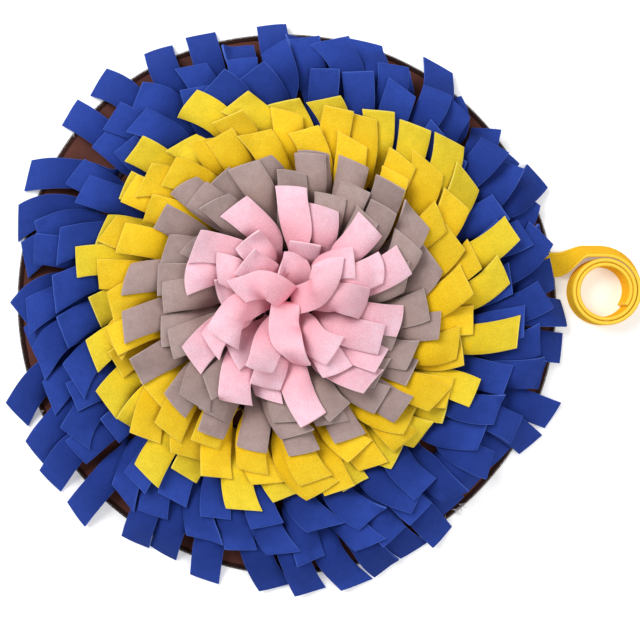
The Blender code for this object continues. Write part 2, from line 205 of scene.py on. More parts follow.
FRAYED_POINTS = (0, 0.25, 0.5, 0.75, 1)


class Tip(NamedTuple):
    """Where a strip's cut end lies: its distance from the middle in mm, and its lean round it in degrees.

    The sweep is how far the strip's middle bows to its left, in mm, and the twist turns its cut end about
    its own length, in degrees. A strip without them bows and twists as it happened to fall.
    """

    reach: float
    skew: float
    sweep: float | None = None
    twist: float | None = None


class Row(NamedTuple):
    """One sewn ring of strips, anticlockwise from the first bearing.

    Crowding draws its roots towards +X, in degrees. The neck is a strip's width just above its root, as a
    share of the root's own width, in a row that differs from its colour's other rows. The curl is how far the
    fleece leans back over the middle before it bends outwards, and the fullness is its least width there, as
    a share of a strip's.
    """

    name: str
    colour: str
    root_radius: float
    first_bearing: float
    tips: tuple
    crowding: float = 0.0
    neck: float | None = None
    curl: float = 0.0
    fullness: float = 0.0

    def bearing(self, slot):
        """The bearing of a root in radians. A slot's two ends are half a slot before and after it."""
        even = math.radians(self.first_bearing) + slot * 2 * math.pi / len(self.tips)
        return even - math.radians(self.crowding) * math.sin(even)


def placed(*pairs):
    """Tips that follow the photograph, anticlockwise from the row's first bearing."""
    return tuple(Tip(*pair) for pair in pairs)


def scattered(count, reach, skew, seed):
    """Tips that lie as they fell, about a middle reach in mm and a middle skew in degrees."""
    draw = random.Random(seed)
    stray = HIDDEN_REACH / MM
    return tuple(
        Tip(reach + draw.uniform(-stray, stray), skew + draw.uniform(-HIDDEN_SKEW, HIDDEN_SKEW))
        for _ in range(count)
    )


BLUE_RIM = placed(
    (244, 13), (241, 18), (239, 36), (258, 13), (243, 18), (241, 19), (234, 40), (259, 23),
    (229, 35), (245, 32), (244, 26), (242, 19), (256, 8), (239, 4), (260, -3), (263, -3),
    (269, 13), (268, 9), (269, 28), (261, 30), (246, 27), (243, 38), (243, 19), (274, 26),
    (274, 23), (278, 9), (280, 5), (265, 17), (262, 4), (270, 7), (266, 26), (270, 20),
    (271, 22), (263, 19), (259, 14), (261, 8), (243, 0), (241, 1), (243, 3), (261, -3),
    (267, -1), (243, 0), (256, 0), (254, 2),
)  # fmt: skip
YELLOW_RIM = placed(
    (209, 20), (195, 34), (202, 28), (192, 23), (187, 20), (182, 32), (178, 32), (183, 34),
    (199, 30), (171, 24), (193, 16), (179, 10), (180, 18), (192, 12), (175, 20), (183, 20),
    (189, 24), (183, 14), (202, 14), (184, 4), (192, 24), (177, 28), (175, 24), (176, 16),
    (171, 28), (172, 20), (172, 14), (187, -2), (207, 16), (195, 28),
)  # fmt: skip
GREY_RIM = placed(
    (134, 34), (137, 30), (137, 24), (137, 20), (135, 14), (127, 28), (126, 26), (138, 10),
    (136, 2), (147, 18), (148, 16), (149, 12), (138, 12), (138, 10), (138, 6), (137, 10),
    (136, 10), (141, 20), (128, 10), (137, 16),
)  # fmt: skip
PINK_RIM = placed(
    (108, 17), (98, 16), (88, 22), (100, 13), (95, 26), (94, 36), (92, 26), (62, 0),
    (100, 20), (101, 30), (91, 18), (108, 16), (103, 32), (99, 11), (102, 8),
)  # fmt: skip
PINK_MIDDLE = placed(
    (88, 12), (67, -26), (53, -18), (64, 8), (68, 4), (80, 30), (70, 0), (80, -8), (78, 10), (90, 4),
)  # fmt: skip
PINK_INNER = placed((68, -4), (34, 60, -4, 30), (50, 26), (66, 40), (66, 10), (62, 16))
PINK_CENTRE = placed((49, 80, -12, 8), (44, 90, -9, -12), (57, 78, -5, 52))

ROWS = (
    Row("blue_row_1", "blue", 196 * MM, 4.3, BLUE_RIM, crowding=11),
    Row("blue_row_2", "blue", 174 * MM, 6.0, scattered(38, 230, 16, seed=2)),
    Row("blue_row_3", "blue", 151 * MM, 1.0, scattered(32, 206, 16, seed=3)),
    Row("yellow_row_1", "yellow", 128 * MM, 10.0, YELLOW_RIM),
    Row("yellow_row_2", "yellow", 109 * MM, 4.0, scattered(26, 170, 18, seed=5)),
    Row("yellow_row_3", "yellow", 93 * MM, 9.0, scattered(22, 155, 16, seed=6)),
    Row("grey_row_1", "grey", 78 * MM, 2.0, GREY_RIM),
    Row("grey_row_2", "grey", 63 * MM, 11.0, scattered(16, 124, 15, seed=8)),
    Row("grey_row_3", "grey", 49 * MM, 5.0, scattered(13, 108, 15, seed=9)),
    Row("pink_row_1", "pink", 36 * MM, 8.0, PINK_RIM),
    Row("pink_row_2", "pink", 24.5 * MM, 10.0, PINK_MIDDLE),
    Row("pink_row_3", "pink", 14 * MM, 0.0, PINK_INNER, neck=0.9, curl=2 * MM, fullness=0.6),
    Row("pink_centre", "pink", 5.5 * MM, 330.0, PINK_CENTRE, neck=1.5, curl=7 * MM, fullness=0.9),
)


class Softness(NamedTuple):
    """How a colour's fleece lies, in metres, degrees and shares.

    A strip is bowed across and flatter towards its cut end. Its middle is lifted by the crest, and its end
    lowered by the droop and turned by the twist. It sways sideways, and sags between what it lies on.
    """

    bow: tuple
    crest: tuple
    droop: tuple
    twist: float
    sway: float
    flat_end: float
    sag: float = 2.5 * MM


SOFTNESS = {
    "blue": Softness((2.5 * MM, 6.0 * MM), (3 * MM, 8 * MM), (5 * MM, 12 * MM), 12, 3.0 * MM, 0.85),
    "yellow": Softness((2.5 * MM, 6.0 * MM), (3 * MM, 8 * MM), (5 * MM, 12 * MM), 14, 2.5 * MM, 0.7),
    "grey": Softness((3.0 * MM, 7.0 * MM), (3 * MM, 9 * MM), (6 * MM, 14 * MM), 20, 3.0 * MM, 0.6),
    "pink": Softness((3.0 * MM, 7.5 * MM), (3 * MM, 10 * MM), (6 * MM, 15 * MM), 24, 4.0 * MM, 0.5),
}


def smooth(value, low, high):
    """0 below low, 1 above high and an even curve between."""
    share = np.clip((value - low) / (high - low), 0.0, 1.0)
    return share * share * (3 - 2 * share)


def rim_radius(bearing):
    """The base's radius at a bearing in radians."""
    return BASE_RADIUS + sum(
        height * math.cos(waves * (bearing - math.radians(crest))) for waves, height, crest in RIM_WAVES
    )


def curve_through(stations, values, at, no_overshoot=False):
    """A smooth curve through a value at each station, read at many places."""
    stations, values, at = np.array(stations), np.array(values, float), np.array(at)
    steps = np.diff(stations)
    rises = np.diff(values) / steps
    slopes = (rises[:-1] * steps[1:] + rises[1:] * steps[:-1]) / (steps[1:] + steps[:-1])
    if no_overshoot:
        flattest = np.minimum(np.abs(rises[:-1]), np.abs(rises[1:])) * 2.5
        same_way = rises[:-1] * rises[1:] > 0
        slopes = np.where(same_way, np.clip(slopes, -flattest, flattest), 0)
    slopes = np.concatenate([rises[:1], slopes, rises[-1:]])
    span = np.clip(np.searchsorted(stations, at, side="right") - 1, 0, len(steps) - 1)
    step = steps[span]
    share = (at - stations[span]) / step
    return (
        values[span] * (1 + 2 * share) * (1 - share) ** 2
        + values[span + 1] * share**2 * (3 - 2 * share)
        + slopes[span] * step * share * (1 - share) ** 2
        - slopes[span + 1] * step * share**2 * (1 - share)
    )


class Pile:
    """The height of what lies at each place of a square grid, so that the next strip can be laid on it."""

    CELL = 1.6 * MM
    HALF_SIDE = 320 * MM

    def __init__(self):
        self.cells = int(2 * self.HALF_SIDE / self.CELL)
        middles = (np.arange(self.cells) + 0.5) * self.CELL - self.HALF_SIDE
        x, y = np.meshgrid(middles, middles, indexing="ij")
        self.top = np.where(np.hypot(x, y) < BASE_RADIUS + RIM_MARGIN, BASE_THICKNESS + RIM_SPARE, 0.0)
        strap = (x > STRAP_START_X - STRAP_MARGIN) & (x < STRAP_TURN_X[0] + STRAP_PILE_PAST_TURN)
        strap &= (y < STRAP_EDGE_Y + STRAP_MARGIN) & (y > STRAP_EDGE_Y - STRAP_WIDTH - STRAP_MARGIN)
        self.top[strap] = BAND_FOOT + STRAP_THICKNESS + STRAP_MARGIN

    def cell_of(self, metres):
        return np.clip(((metres + self.HALF_SIDE) / self.CELL).astype(int), 1, self.cells - 2)

    def under(self, x, y):
        """The highest thing at or next to each point."""
        column, line = self.cell_of(x), self.cell_of(y)
        around = [self.top[column + i, line + j] for i in (-1, 0, 1) for j in (-1, 0, 1)]
        return np.max(around, axis=0)

    def add(self, x, y, z):
        np.maximum.at(self.top, (self.cell_of(x), self.cell_of(y)), z)


class Strip:
    """One fleece strip, from the middle of its root to its cut end."""

    ACROSS = np.linspace(-1, 1, 23)
    ALONG = np.linspace(0, 1, 61)
    LAID_FROM = 0.1
    FINE_ACROSS = np.linspace(-1, 1, 17)
    FINE_ALONG = np.linspace(0, 1, 49) ** 1.3

    def __init__(self, row, slot, draw):
        tip = row.tips[slot]
        bearing = row.bearing(slot)
        skew = math.radians(tip.skew)
        self.root = Vector((math.cos(bearing), math.sin(bearing), 0)) * row.root_radius + FLOWER_CENTRE
        reach = tip.reach * MM
        aslant = row.root_radius * math.sin(skew)
        length = math.sqrt(reach**2 - aslant**2) - row.root_radius * math.cos(skew)
        heading = bearing + skew
        ahead = Vector((math.cos(heading), math.sin(heading), 0))
        aside = Vector((-ahead.y, ahead.x, 0))
        bow = -BOW_SHARE * length * math.tan(skew) * draw.uniform(0.5, 1.0)
        if tip.sweep is not None:
            bow = tip.sweep * MM
        self.curl = row.curl
        self.fullness = row.fullness
        self.twist = tip.twist
        self.line = (ahead * length, aside * bow * 4)
        self.middles = [self.middle_at(u) for u in STATIONS]
        slot_angle = row.bearing(slot + 0.5) - row.bearing(slot - 0.5)
        self.root_width = 2 * row.root_radius * math.sin(slot_angle / 2)
        self.pinch = row.neck or PINCH[row.colour]
        slant = draw.uniform(-CUT_SLANT, CUT_SLANT)
        if tip.sweep is None:
            slant += CUT_LEAD + min(max(CUT_FOLLOWS * self.lean(), -MOST_CUT), MOST_CUT)
        self.cut = math.tan(math.radians(slant))
        arch = draw.uniform(*ARCH)
        own = (BAND_TOP + arch, BAND_TOP + arch * SHOULDER, draw.uniform(*CUT_END))
        tilt = draw.uniform(-LOOSE_TILT, LOOSE_TILT)
        self.loose = np.array([[height + tilt, height - tilt] for height in own]).ravel()
        self.loft = draw.uniform(*LOFT)
        self.edges = [self.edge_points(i) for i in range(len(STATIONS))]
        self.heights = None
        self.surface = None

    def middle_at(self, share):
        """The strip's middle line in plan, at a share of the way out."""
        along, sideways = self.line
        return self.root + along * share + sideways * share * (1 - share)

    def lean(self):
        """How far the strip's end points round the mat from straight outwards, in degrees anticlockwise."""
        outward = self.middles[-1] - FLOWER_CENTRE
        ahead = self.middles[-1] - self.middles[-2]
        return math.degrees(math.atan2(outward.cross(ahead).z, outward.dot(ahead)))

    def edge_points(self, i):
        """The left and the right end of the strip's cross line at a station, in plan."""
        before, after = self.middles[max(i - 1, 0)], self.middles[min(i + 1, len(STATIONS) - 1)]
        ahead = (after - before).normalized()
        left = Vector((-ahead.y, ahead.x, 0))
        neck, nearly_full = self.root_width * self.pinch, STRIP_WIDTH * FULL_WIDTH_FROM
        width = (self.root_width, neck, nearly_full, STRIP_WIDTH, STRIP_WIDTH)[i]
        lag = ahead * self.cut * width / 2 if i == len(STATIONS) - 1 else Vector()
        return self.middles[i] + left * width / 2 + lag, self.middles[i] - left * width / 2 - lag

    def level_at(self, i):
        """The direction from the strip's middle to its left edge at a station."""
        before, after = self.middles[max(i - 1, 0)], self.middles[min(i + 1, len(STATIONS) - 1)]
        ahead = (after - before).normalized()
        return Vector((-ahead.y, ahead.x, 0))

    def plan(self):
        """Sample points all over the strip, in plan."""
        share = (1 + self.ACROSS) / 2
        x, y = (
            [
                np.interp(self.ALONG, STATIONS, [pair[side][axis] for pair in self.edges])[:, None]
                for side in (0, 1)
            ]
            for axis in (0, 1)
        )
        return x[0] * share + x[1] * (1 - share), y[0] * share + y[1] * (1 - share)

    @classmethod
    def influence(cls):
        """How far each sample point rises with the left and the right height of the last three stations."""
        tilt = np.interp(cls.ALONG, STATIONS, TILT_SHARE)[:, None] * cls.ACROSS / 2
        rises = ((0, FIRST_RISE, 1, 0, 0), (0, 0, 0, 1, 0), (0, 0, 0, 0, 1))
        columns = []
        for rise in rises:
            along = np.interp(cls.ALONG, STATIONS, rise)[:, None]
            columns += [along * (0.5 + tilt), along * (0.5 - tilt)]
        return np.stack(columns, axis=-1)

    def lay(self, pile):
        """Lifts the strip from its own loose shape until it clears the pile, and adds it to the pile."""
        x, y = self.plan()
        influence = self.influence()
        footing = BAND_TOP * (1 - influence.sum(axis=-1))
        half = STRIP_THICKNESS / 2 * STEEPNESS_SPARE
        bulge = self.loft * np.sin(math.pi * self.ALONG)[:, None]
        needed = (pile.under(x, y) + CLEARANCE + half + bulge - footing)[self.ALONG >= self.LAID_FROM]
        lift = influence[self.ALONG >= self.LAID_FROM]
        onward = np.array(((1, -1, 0), (0, 1, -1)))
        level = np.kron(np.eye(3), ((1, -1), (-1, 1)))
        even = np.kron(onward, ((1, -1), (-1, 1)))
        arched = np.kron(onward, (0.5, 0.5))
        lift = np.concatenate([lift.reshape(-1, 6), level, even, arched])
        limits = np.repeat((MOST_TILT, MOST_TWIST, MOST_CLIMB), (6, 4, 2))
        needed = np.concatenate([needed.ravel(), -limits])
        heights = self.loose.copy()
        strength = (lift**2).sum(axis=1)
        for _ in range(LAYING_ROUNDS):
            short = (needed - lift @ heights) / np.sqrt(strength)
            worst = short.argmax()
            if short[worst] < LAYING_ERROR:
                break
            heights += lift[worst] * short[worst] / np.sqrt(strength[worst])
        pile.add(x, y, footing + influence @ heights + half)
        third, fourth, last = heights.reshape(3, 2)
        second = BAND_TOP + FIRST_RISE * (third.mean() - BAND_TOP)
        tilt = TILT_SHARE[1] * FIRST_RISE * (third[0] - third[1]) / 2
        self.heights = [(BAND_TOP, BAND_TOP), (second + tilt, second - tilt), third, fourth, last]

    def fine_line(self):
        """The strip's middle line in plan, its onward direction and its width, at each fine place."""
        along = self.FINE_ALONG
        onward = np.array(
            [self.middle_at(share + NEARBY).xy - self.middle_at(share - NEARBY).xy for share in along]
        )
        onward /= np.linalg.norm(onward, axis=1, keepdims=True)
        inward = np.array((FLOWER_CENTRE - self.root).xy.normalized())
        plan = np.array([self.middle_at(share).xy for share in along])
        back = inward * INWARD_SHARE - onward
        plan += back * self.curl * np.sin(math.pi * np.clip(along / CURLED_TO, 0, 1))[:, None]
        widths = [(left - right).dot(self.level_at(i)) for i, (left, right) in enumerate(self.edges)]
        width = curve_through(STATIONS, widths, along, no_overshoot=True)
        return plan, onward, np.maximum(width, STRIP_WIDTH * self.fullness * smooth(along, 0.0, FULL_BY))

    def settle(self, pile, softness, draw):
        """Gives the strip its fine surface: a ribbon through its stations that bows, sways and twists."""
        along, across = self.FINE_ALONG, self.FINE_ACROSS
        plan, onward, width = self.fine_line()
        high = [
            curve_through(STATIONS, [pair[side] for pair in self.heights], along, no_overshoot=True)
            for side in (0, 1)
        ]
        loose = smooth(along, *LOOSE_BETWEEN)
        middle = np.column_stack([plan, np.mean(high, axis=0)])
        roll = np.arctan2(high[0] - high[1], width)
        level = np.column_stack([-onward[:, 1], onward[:, 0], np.zeros_like(width)])
        sway = softness.sway * draw.uniform(-1, 1) * np.sin(math.pi * along) * loose
        second = softness.sway * SECOND_SWAY * draw.uniform(-1, 1)
        sway += second * np.sin(2 * math.pi * along + draw.uniform(0, SECOND_SWAY_START)) * loose
        middle += level * sway[:, None]
        crest, droop = draw.uniform(*softness.crest), draw.uniform(*softness.droop)
        lifted = crest * np.sin(math.pi * along**CREST_SHAPE) * loose
        middle[:, 2] += lifted - droop * smooth(along, *DROOPS_BETWEEN)
        twist = draw.uniform(-1, 1) * softness.twist if self.twist is None else self.twist
        roll += math.radians(twist) * smooth(along, *TWISTS_BETWEEN)
        roll += math.radians(ROCKING) * wave(along, ROCKING_PACE, draw) * loose
        ahead = np.gradient(middle, axis=0)
        ahead /= np.linalg.norm(ahead, axis=1, keepdims=True)
        level -= ahead * (level * ahead).sum(axis=1, keepdims=True)
        level /= np.linalg.norm(level, axis=1, keepdims=True)
        upward = np.cross(ahead, level)
        side = level * np.cos(roll)[:, None] + upward * np.sin(roll)[:, None]
        upward = np.cross(ahead, side)
        bow = draw.uniform(*softness.bow) * loose * (1 + BOW_SWELL * wave(along, BOW_PACE, draw))
        bow *= 1 - softness.flat_end * smooth(along, FLATTENS_FROM, 1.0)
        wander = 1 + WANDER * wave(along, WANDER_PACE, draw) * loose - BOW_NARROWS * (bow / STRIP_WIDTH) ** 2
        half_width = (width * wander / 2)[:, None] * across
        rise = bow[:, None] * (BOW_MIDDLE - across**2)
        slant = self.cut * smooth(along, CUT_FROM, 1.0)[:, None] * half_width
        surface = middle[:, None] + side[:, None] * half_width[..., None] + upward[:, None] * rise[..., None]
        surface += ahead[:, None] * slant[..., None]
        for _ in range(EASING):
            surface[1:-1] += (surface[:-2] - 2 * surface[1:-1] + surface[2:]) / 4
        self.rest(surface, pile, softness.sag * draw.uniform(*SAG_SHARE) * loose)

    def rest(self, surface, pile, sag):
        """Lifts the fine surface until it rests on the pile, with a little sag, and adds it to the pile."""
        x, y, z = np.moveaxis(surface, -1, 0)
        floor = pile.under(x, y) + REST + STRIP_THICKNESS / 2
        for _ in range(FLOOR_EASING):
            floor = np.maximum(floor, eased(floor))
        free = self.FINE_ALONG > FREE_FROM
        short = np.where(free[:, None], floor - z, NEVER_SHORT)
        lift = np.maximum(np.percentile(short, LIFTED_BY, axis=1), -sag)
        for _ in range(SETTLING):
            lift[1:-1] = np.maximum(lift[1:-1], (lift[:-2] + lift[2:]) / 2 * PASSED_ON)
            lift[-1] = max(lift[-1], lift[-2])
        lift = lift[:, None] + np.zeros_like(z)
        for _ in range(SPREADING):
            lift = np.maximum(eased(lift), short)
        for _ in range(LIFT_EASING):
            lift = eased(lift)
        z += lift * smooth(self.FINE_ALONG, HELD_TO, FREE_FROM)[:, None]
        pile.add(x, y, z + STRIP_THICKNESS / 2)
        z[0] -= ROOT_SINK
        self.surface = np.stack([x, y, z], axis=-1)[::2, ::2]


def wave(along, pace, draw):
    """A slow wave along a strip, between -1 and 1, that runs and starts as it happens."""
    return np.sin(along * draw.uniform(*pace) + draw.uniform(0, WAVE_START))


def eased(z):
    """The same heights, a little smoother."""
    out = z.copy()
    out[1:-1] += (z[:-2] - 2 * z[1:-1] + z[2:]) / 4
    out[:, 1:-1] += (z[:, :-2] - 2 * z[:, 1:-1] + z[:, 2:]) / 4
    return out


# Materials

# The scale and the detail of each noise
PATCHES = (130.0, 4.0)
NAP = (900.0, 3.0)
FIBRES = (2600.0, 2.0)
CLOUDS = (40.0, 5.0)
TWISTS = (1800.0, 2.0)

WEAVE_SCALE = 320.0
PALE_EDGE_WIDTH = 0.022  # the width of the paler edge at a strip's sides, as a share of its map
SIDE_TO_END = 2.3  # how many times wider, in the map, that edge is at the sides than at the cut end


def add_node(tree, kind, inputs=(), **settings):
    """A node with its settings, and with a value or a link at each named input."""
    made = tree.nodes.new(kind)
    for name, value in settings.items():
        setattr(made, name, value)
    for name, value in dict(inputs).items():
        if isinstance(value, bpy.types.NodeSocket):
            tree.links.new(value, made.inputs[name])
        else:
            made.inputs[name].default_value = value
    return made


def new_group(name, inputs, outputs):
    """An empty shader node group with its sockets, and its input and output nodes."""
    group = bpy.data.node_groups.new(name, "ShaderNodeTree")
    kinds = {"colour": "NodeSocketColor", "value": "NodeSocketFloat", "vector": "NodeSocketVector"}
    for socket, kind in inputs:
        group.interface.new_socket(socket, in_out="INPUT", socket_type=kinds[kind])
    for socket, kind in outputs:
        group.interface.new_socket(socket, in_out="OUTPUT", socket_type=kinds[kind])
    return group, group.nodes.new("NodeGroupInput").outputs, group.nodes.new("NodeGroupOutput").inputs


def remapped(tree, value, came_from, goes_to=(0.0, 1.0), **settings):
    """The socket of a value that is moved from one range to another."""
    inputs = {"Value": value}
    inputs["From Min"], inputs["From Max"] = came_from
    inputs["To Min"], inputs["To Max"] = goes_to
    return add_node(tree, "ShaderNodeMapRange", inputs, **settings).outputs["Result"]


def mixed(tree, share, first, second):
    """The socket of a colour between two others. Each of the three is a value or a socket."""
    return add_node(tree, "ShaderNodeMix", {0: share, 6: first, 7: second}, data_type="RGBA").outputs[2]


def scaled(tree, colour, scale):
    """The socket of a colour that is made lighter or darker."""
    return add_node(tree, "ShaderNodeVectorMath", {0: colour, "Scale": scale}, operation="SCALE").outputs[0]


def worked_out(tree, operation, *values):
    """The socket of a sum on values or sockets."""
    return add_node(tree, "ShaderNodeMath", dict(enumerate(values)), operation=operation).outputs[0]


def noise(tree, place, scale, detail, **more):
    """The socket of a soft noise at a place."""
    inputs = {"Vector": place, "Scale": scale, "Detail": detail, **more}
    return add_node(tree, "ShaderNodeTexNoise", inputs).outputs["Fac"]


def bumped(tree, strength, distance, height):
    """The socket of a normal that follows a height."""
    inputs = {"Strength": strength, "Distance": distance, "Height": height}
    return add_node(tree, "ShaderNodeBump", inputs).outputs["Normal"]


def new_material(name):
    """An empty material, its node tree and its shader."""
    material = bpy.data.materials.new(name)
    material.use_nodes = True
    return material, material.node_tree, material.node_tree.nodes["Principled BSDF"]


def fleece_nap():
    """Brushed fleece: soft patches of deeper colour, a fine nap, and the height of its fibres."""
    group, given, put = new_group(
        "fleece_nap",
        (("Place", "vector"), ("Colour", "colour"), ("Deep Colour", "colour"), ("Patchiness", "value")),
        (("Colour", "colour"), ("Roughness", "value"), ("Height", "value")),
    )
    patches = noise(group, given["Place"], *PATCHES)
    nap = noise(group, given["Place"], *NAP)
    fibres = noise(group, given["Place"], *FIBRES, Distortion=1.5)
    share = worked_out(group, "MULTIPLY", remapped(group, patches, (0.42, 0.62)), given["Patchiness"])
    patched = mixed(group, share, given["Colour"], given["Deep Colour"])
    napped = scaled(group, patched, remapped(group, nap, (0.3, 0.7), (0.88, 1.1)))
    group.links.new(napped, put["Colour"])
    group.links.new(remapped(group, fibres, (0.3, 0.7), (0.85, 1.0)), put["Roughness"])
    group.links.new(worked_out(group, "MULTIPLY_ADD", nap, 0.6, fibres), put["Height"])
    return group


def cut_edge():
    """Lighter towards a piece's sides and its cut end, read from its own map: 0 to 1 across and along. On the
    strap this is a painted highlight along its folded edges.
    """
    group, given, put = new_group(
        "cut_edge",
        (("Map", "vector"), ("Colour", "colour"), ("Raw Colour", "colour"), ("Width", "value")),
        (("Colour", "colour"),),
    )
    parts = add_node(group, "ShaderNodeSeparateXYZ", {0: given["Map"]}).outputs
    from_middle = worked_out(group, "ABSOLUTE", worked_out(group, "SUBTRACT", parts["X"], 0.5))
    from_side = worked_out(group, "SUBTRACT", 0.5, from_middle)
    to_end = worked_out(group, "SUBTRACT", 1.0, parts["Y"])
    from_end = worked_out(group, "MULTIPLY", to_end, SIDE_TO_END)
    nearest = worked_out(group, "MINIMUM", from_side, from_end)
    mask = remapped(group, nearest, (0.0, given["Width"]), (1.0, 0.0), interpolation_type="SMOOTHSTEP")
    group.links.new(mixed(group, mask, given["Colour"], given["Raw Colour"]), put["Colour"])
    return group


class Fleece(NamedTuple):
    """One dyed fleece: its colour, that of its patches, of its paler edges and towards its cut end, and where
    it is seen edge-on.

    Its colour is darker than the one towards its cut end: painted shade towards the root. Its colour where it
    is seen edge-on is deeper than its own: painted shade of its walls and hollows. On the strap the paler
    edges are a painted highlight along its folded edges.
    """

    colour: tuple
    deep: tuple
    raw: tuple
    tip: tuple
    grazing_shade: tuple
    patchiness: float


# In each fleece the first colour is darker than the fourth, towards the cut end: painted shade towards the
# root.
FLEECES = {
    # The fifth colour of each fleece is painted shade where its surface is seen edge-on.
    "blue_fleece": Fleece(
        (0.016, 0.038, 0.225), (0.010, 0.026, 0.150), (0.065, 0.130, 0.500), (0.028, 0.064, 0.345),
        (0.012, 0.030, 0.190), 0.15,
    ),
    "yellow_fleece": Fleece(
        (0.860, 0.530, 0.012), (0.800, 0.440, 0.008), (0.900, 0.690, 0.100), (0.870, 0.590, 0.030),
        (0.780, 0.420, 0.008), 0.25,
    ),
    "yellow_rim_fleece": Fleece(
        (0.820, 0.560, 0.018), (0.720, 0.540, 0.030), (0.880, 0.730, 0.130), (0.800, 0.610, 0.040),
        (0.740, 0.440, 0.012), 0.7,
    ),
    "grey_fleece": Fleece(
        (0.370, 0.256, 0.232), (0.310, 0.208, 0.186), (0.520, 0.420, 0.400), (0.400, 0.300, 0.285),
        (0.290, 0.190, 0.175), 0.3,
    ),
    "pink_fleece": Fleece(
        (0.920, 0.480, 0.560), (0.900, 0.420, 0.500), (0.930, 0.620, 0.690), (0.890, 0.590, 0.690),
        (0.900, 0.380, 0.460), 0.3,
    ),
    # The strap's paler edge colour is a painted highlight along its folded edges.
    "strap_fleece": Fleece(
        (0.960, 0.590, 0.022), (0.920, 0.530, 0.016), (0.960, 0.650, 0.075), (0.960, 0.590, 0.022),
        (0.900, 0.400, 0.008), 0.2,
    ),
}


THREADS = {
    "dark_thread": (0.030, 0.012, 0.009),
    # The sewn roots are near-black: painted shade of the roots deep between the strips.
    "root_thread": (0.020, 0.016, 0.030),
    "pale_thread": (0.620, 0.590, 0.600),
    "strap_thread": (0.780, 0.450, 0.020),
}


def fleece_material(name, groups):
    """Matt brushed fleece with paler edges, which on the strap are a painted highlight, and with painted
    shade towards the root and where it is seen edge-on. Each strip's own tone comes from its attribute.
    """
    fleece = FLEECES[name]
    material, tree, shader = new_material(name)
    place = add_node(tree, "ShaderNodeTexCoord").outputs
    tone = add_node(tree, "ShaderNodeAttribute", attribute_name="tone").outputs["Fac"]
    parts = add_node(tree, "ShaderNodeSeparateXYZ", {0: place["UV"]}).outputs
    # Darker towards the root and lighter towards the cut end: painted shade of the roots deep in the pile.
    painted_root_shade_fade = remapped(tree, parts["Y"], (0.55, 1.0), interpolation_type="SMOOTHSTEP")
    body = mixed(tree, painted_root_shade_fade, (*fleece.colour, 1), (*fleece.tip, 1))
    # Where the surface is seen edge-on it takes a deeper colour: painted shade.
    facing = add_node(tree, "ShaderNodeLayerWeight", {"Blend": 0.35}).outputs["Facing"]
    nap = add_node(tree, "ShaderNodeGroup", node_tree=groups["fleece_nap"])
    tree.links.new(place["Object"], nap.inputs["Place"])
    tree.links.new(mixed(tree, facing, body, (*fleece.grazing_shade, 1)), nap.inputs["Colour"])
    nap.inputs["Deep Colour"].default_value = (*fleece.deep, 1)
    nap.inputs["Patchiness"].default_value = fleece.patchiness
    # Paler edges; on the strap they are a painted highlight along its folds.
    edge = add_node(tree, "ShaderNodeGroup", node_tree=groups["cut_edge"])
    tree.links.new(place["UV"], edge.inputs["Map"])
    tree.links.new(scaled(tree, nap.outputs["Colour"], tone), edge.inputs["Colour"])
    edge.inputs["Raw Colour"].default_value = (*fleece.raw, 1)
    edge.inputs["Width"].default_value = PALE_EDGE_WIDTH
    tree.links.new(edge.outputs["Colour"], shader.inputs["Base Color"])
    tree.links.new(nap.outputs["Roughness"], shader.inputs["Roughness"])
    tree.links.new(bumped(tree, 0.7, 0.4 * MM, nap.outputs["Height"]), shader.inputs["Normal"])
    shader.inputs["Specular IOR Level"].default_value = 0.08
    shader.inputs["Sheen Weight"].default_value = 0.08
    shader.inputs["Sheen Roughness"].default_value = 0.4
    shader.inputs["Sheen Tint"].default_value = (*fleece.raw, 1)
    return material


def woven_material():
    """Tight plain weave in brown, a little satin where it catches the light."""
    material, tree, shader = new_material("brown_cloth")
    place = add_node(tree, "ShaderNodeTexCoord").outputs["Object"]
    wave_inputs = {"Vector": place, "Scale": WEAVE_SCALE, "Distortion": 0.6, "Detail": 1.0}
    threads = [
        add_node(tree, "ShaderNodeTexWave", wave_inputs, bands_direction=direction).outputs["Fac"]
        for direction in ("X", "Y")
    ]
    weave = worked_out(tree, "MULTIPLY", *threads)
    cloth = mixed(tree, weave, (0.066, 0.017, 0.011, 1), (0.150, 0.042, 0.028, 1))
    worn = remapped(tree, noise(tree, place, *CLOUDS), (0.3, 0.7), (0.8, 1.2))
    tree.links.new(scaled(tree, cloth, worn), shader.inputs["Base Color"])
    tree.links.new(remapped(tree, weave, (0.0, 1.0), (0.75, 0.5)), shader.inputs["Roughness"])
    tree.links.new(bumped(tree, 0.6, 0.2 * MM, weave), shader.inputs["Normal"])
    shader.inputs["Specular IOR Level"].default_value = 0.2
    shader.inputs["Sheen Weight"].default_value = 0.04
    return material


def thread_material(name, colour):
    """Spun sewing thread: fine twists and fuzz."""
    material, tree, shader = new_material(name)
    twists = noise(tree, add_node(tree, "ShaderNodeTexCoord").outputs["Object"], *TWISTS)
    dark, light = ((*(share * part for part in colour), 1) for share in (0.6, 1.4))
    tree.links.new(mixed(tree, twists, dark, light), shader.inputs["Base Color"])
    tree.links.new(bumped(tree, 0.5, 0.15 * MM, twists), shader.inputs["Normal"])
    shader.inputs["Roughness"].default_value = 0.8
    shader.inputs["Specular IOR Level"].default_value = 0.12
    return material


# Pieces


def finished(name, bm, material, smooth_angle=None):
    """A mesh object at the origin, with its place in its mesh."""
    mesh = bpy.data.meshes.new(name)
    bm.to_mesh(mesh)
    bm.free()
    mesh.materials.append(material)
    mesh.shade_smooth()
    if smooth_angle is not None:
        mesh.set_sharp_from_angle(angle=math.radians(smooth_angle))
    obj = bpy.data.objects.new(name, mesh)
    bpy.context.scene.collection.objects.link(obj)
    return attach(obj, "root")


